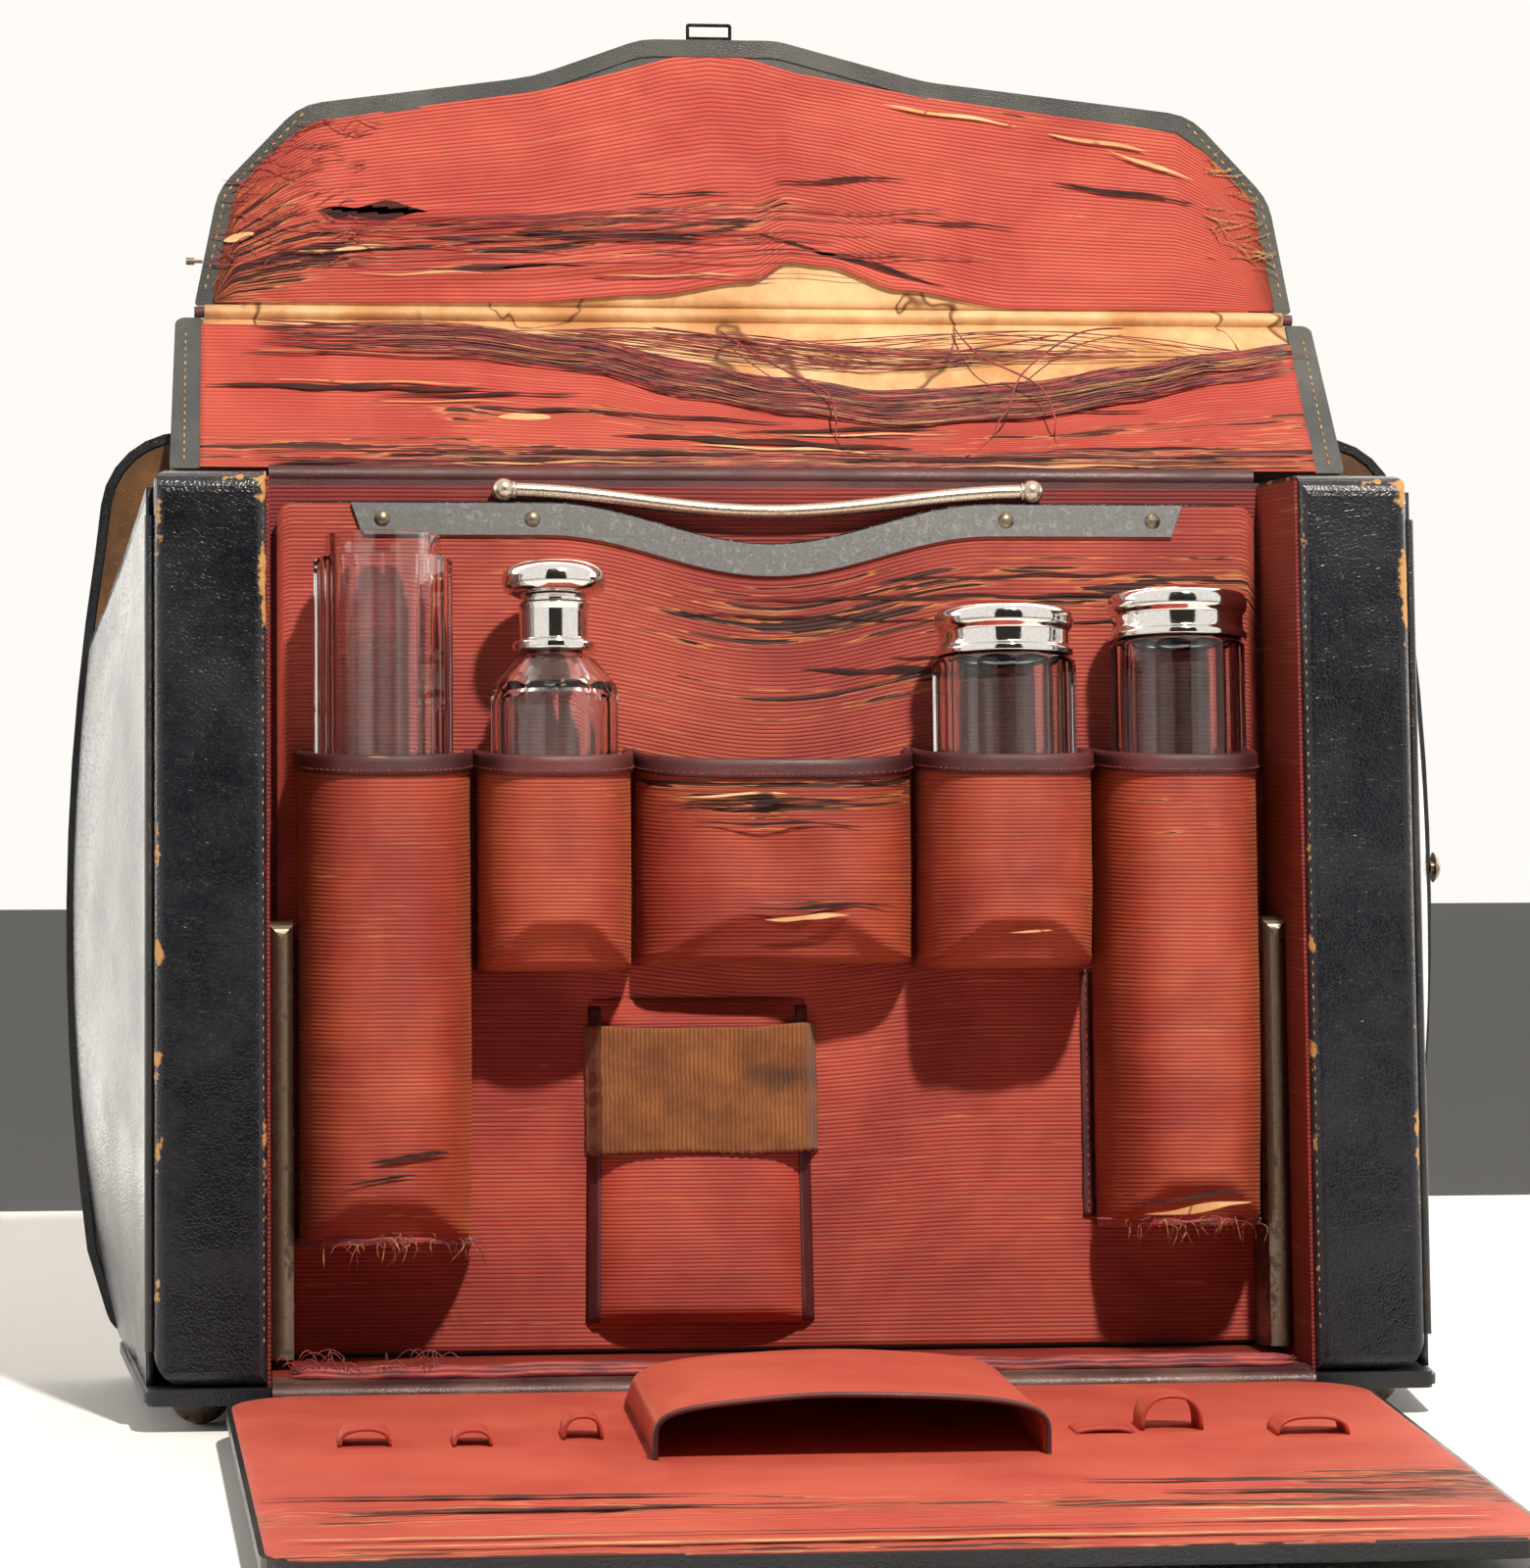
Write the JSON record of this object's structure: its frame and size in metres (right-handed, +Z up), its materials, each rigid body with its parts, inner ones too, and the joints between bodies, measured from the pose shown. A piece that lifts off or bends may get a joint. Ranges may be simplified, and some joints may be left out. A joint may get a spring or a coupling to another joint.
{
  "type": "fitted dressing case",
  "caption": "Antique leather dressing case standing open, with a drop front, folding lid, lift-out pocketed silk panel and glass bottles.",
  "frame": {"origin": "centre of the base board's underside", "axes": "+X to the right of the open front, -Y out of the front, +Z up"},
  "size_m": [0.3988, 0.3845, 0.3945],
  "materials": {
    "leather": "grained, worn semi-gloss",
    "worn_leather": "worn through",
    "silk": "ribbed silk",
    "dark_silk": "ribbed silk",
    "binding": "thin skiver leather",
    "ribbed_band": "corded ribbon",
    "steel": "dull, speckled",
    "nickel": "worn nickel plate",
    "silver": "polished",
    "brass": "dull, tarnished",
    "glass": "clear, faceted"
  },
  "bodies": {
    "case": {"base_board": "leather", "base_skin": "leather", "feet": "brass", "floor_lining": "dark_silk", "threshold_strip": "binding", "left_pillar": "leather", "right_pillar": "leather", "side_linings": "dark_silk", "pillar_welts": "worn_leather", "compartment_wall": "leather", "wall_lining": "dark_silk", "wall_top_binding": "binding", "left_gusset": "leather", "right_gusset": "leather", "back_panel": "leather", "back_lining": "worn_leather", "back_rim": "leather", "panel_guides": "brass", "guide_rivets": "steel", "end_stud": "brass"},
    "drop_front": {"front_board": "leather", "front_lining": "silk", "front_pocket": "silk", "front_pocket_binding": "binding", "tool_loops": "binding", "hinge_roll": "binding", "lock_plate": "nickel"},
    "button": {"turn_button": "nickel"},
    "lid": {"lid_board": "leather", "lid_lining": "silk", "lid_rolls": "binding", "handle_mounts": "nickel"},
    "carry_handle": {"handle_grip": "leather", "handle_ends": "nickel"},
    "flap": {"flap_board": "leather", "flap_lining": "silk", "hasp_plate": "brass", "hasp_loop": "silver", "flap_stud": "brass"},
    "panel": {"panel_board": "leather", "panel_lining": "silk", "handle_plate": "steel", "plate_rivets": "brass", "panel_handle": "nickel", "tube_pocket": "silk", "bottle_pocket": "silk", "wide_pocket": "silk", "jar_pocket": "silk", "tall_jar_pocket": "silk", "pocket_bindings": "binding", "pouch": "silk", "elastic_band": "ribbed_band"},
    "tube": {"tube_glass": "glass"},
    "bottle": {"bottle_glass": "glass", "bottle_collar": "silver"},
    "cap": {"bottle_cap": "silver"},
    "jar": {"jar_glass": "glass"},
    "jar_cover": {"jar_lid": "silver"},
    "tall_jar": {"tall_jar_glass": "glass"},
    "tall_jar_cover": {"tall_jar_lid": "silver"}
  },
  "joints": [
    {"name": "drop_front_hinge", "type": "hinge", "parent": "case", "child": "drop_front", "pos_m": [0, -0.05708, 0.003], "axis": [1, 0, 0], "range_deg": [-96.2, 0]},
    {"name": "turn_button_pivot", "type": "hinge", "parent": "drop_front", "child": "button", "pos_m": [-0.012, -0.22271, -0.003], "axis": [0, 0, 1], "range_deg": [0, 90]},
    {"name": "lid_hinge", "type": "hinge", "parent": "case", "child": "lid", "pos_m": [0, 0.03194, 0.2516], "axis": [-1, 0, 0], "range_deg": [-133, 0]},
    {"name": "handle_swing", "type": "hinge", "parent": "lid", "child": "carry_handle", "pos_m": [0, 0.06951, 0.2781], "axis": [1, 0, 0], "range_deg": [-8, 130]},
    {"name": "flap_fold", "type": "hinge", "parent": "lid", "child": "flap", "pos_m": [0, 0.07822, 0.30122], "axis": [-1, 0, 0], "range_deg": [-40.8, 43]},
    {"name": "panel_lift", "type": "slide", "parent": "case", "child": "panel", "axis": [0, 0.108, 0.9942], "range_m": [0, 0.25]},
    {"name": "tube_lift", "type": "slide", "parent": "panel", "child": "tube", "axis": [0, 0.108, 0.9942], "range_m": [0, 0.13]},
    {"name": "bottle_lift", "type": "slide", "parent": "panel", "child": "bottle", "axis": [0, 0.108, 0.9942], "range_m": [0, 0.06]},
    {"name": "cap_lift", "type": "slide", "parent": "bottle", "child": "cap", "axis": [0, 0.108, 0.9942], "range_m": [0, 0.03]},
    {"name": "jar_lift", "type": "slide", "parent": "panel", "child": "jar", "axis": [0, 0.108, 0.9942], "range_m": [0, 0.06]},
    {"name": "jar_lid_lift", "type": "slide", "parent": "jar", "child": "jar_cover", "axis": [0, 0.108, 0.9942], "range_m": [0, 0.02]},
    {"name": "tall_jar_lift", "type": "slide", "parent": "panel", "child": "tall_jar", "axis": [0, 0.108, 0.9942], "range_m": [0, 0.13]},
    {"name": "tall_jar_lid_lift", "type": "slide", "parent": "tall_jar", "child": "tall_jar_cover", "axis": [0, 0.108, 0.9942], "range_m": [0, 0.02]}
  ]
}
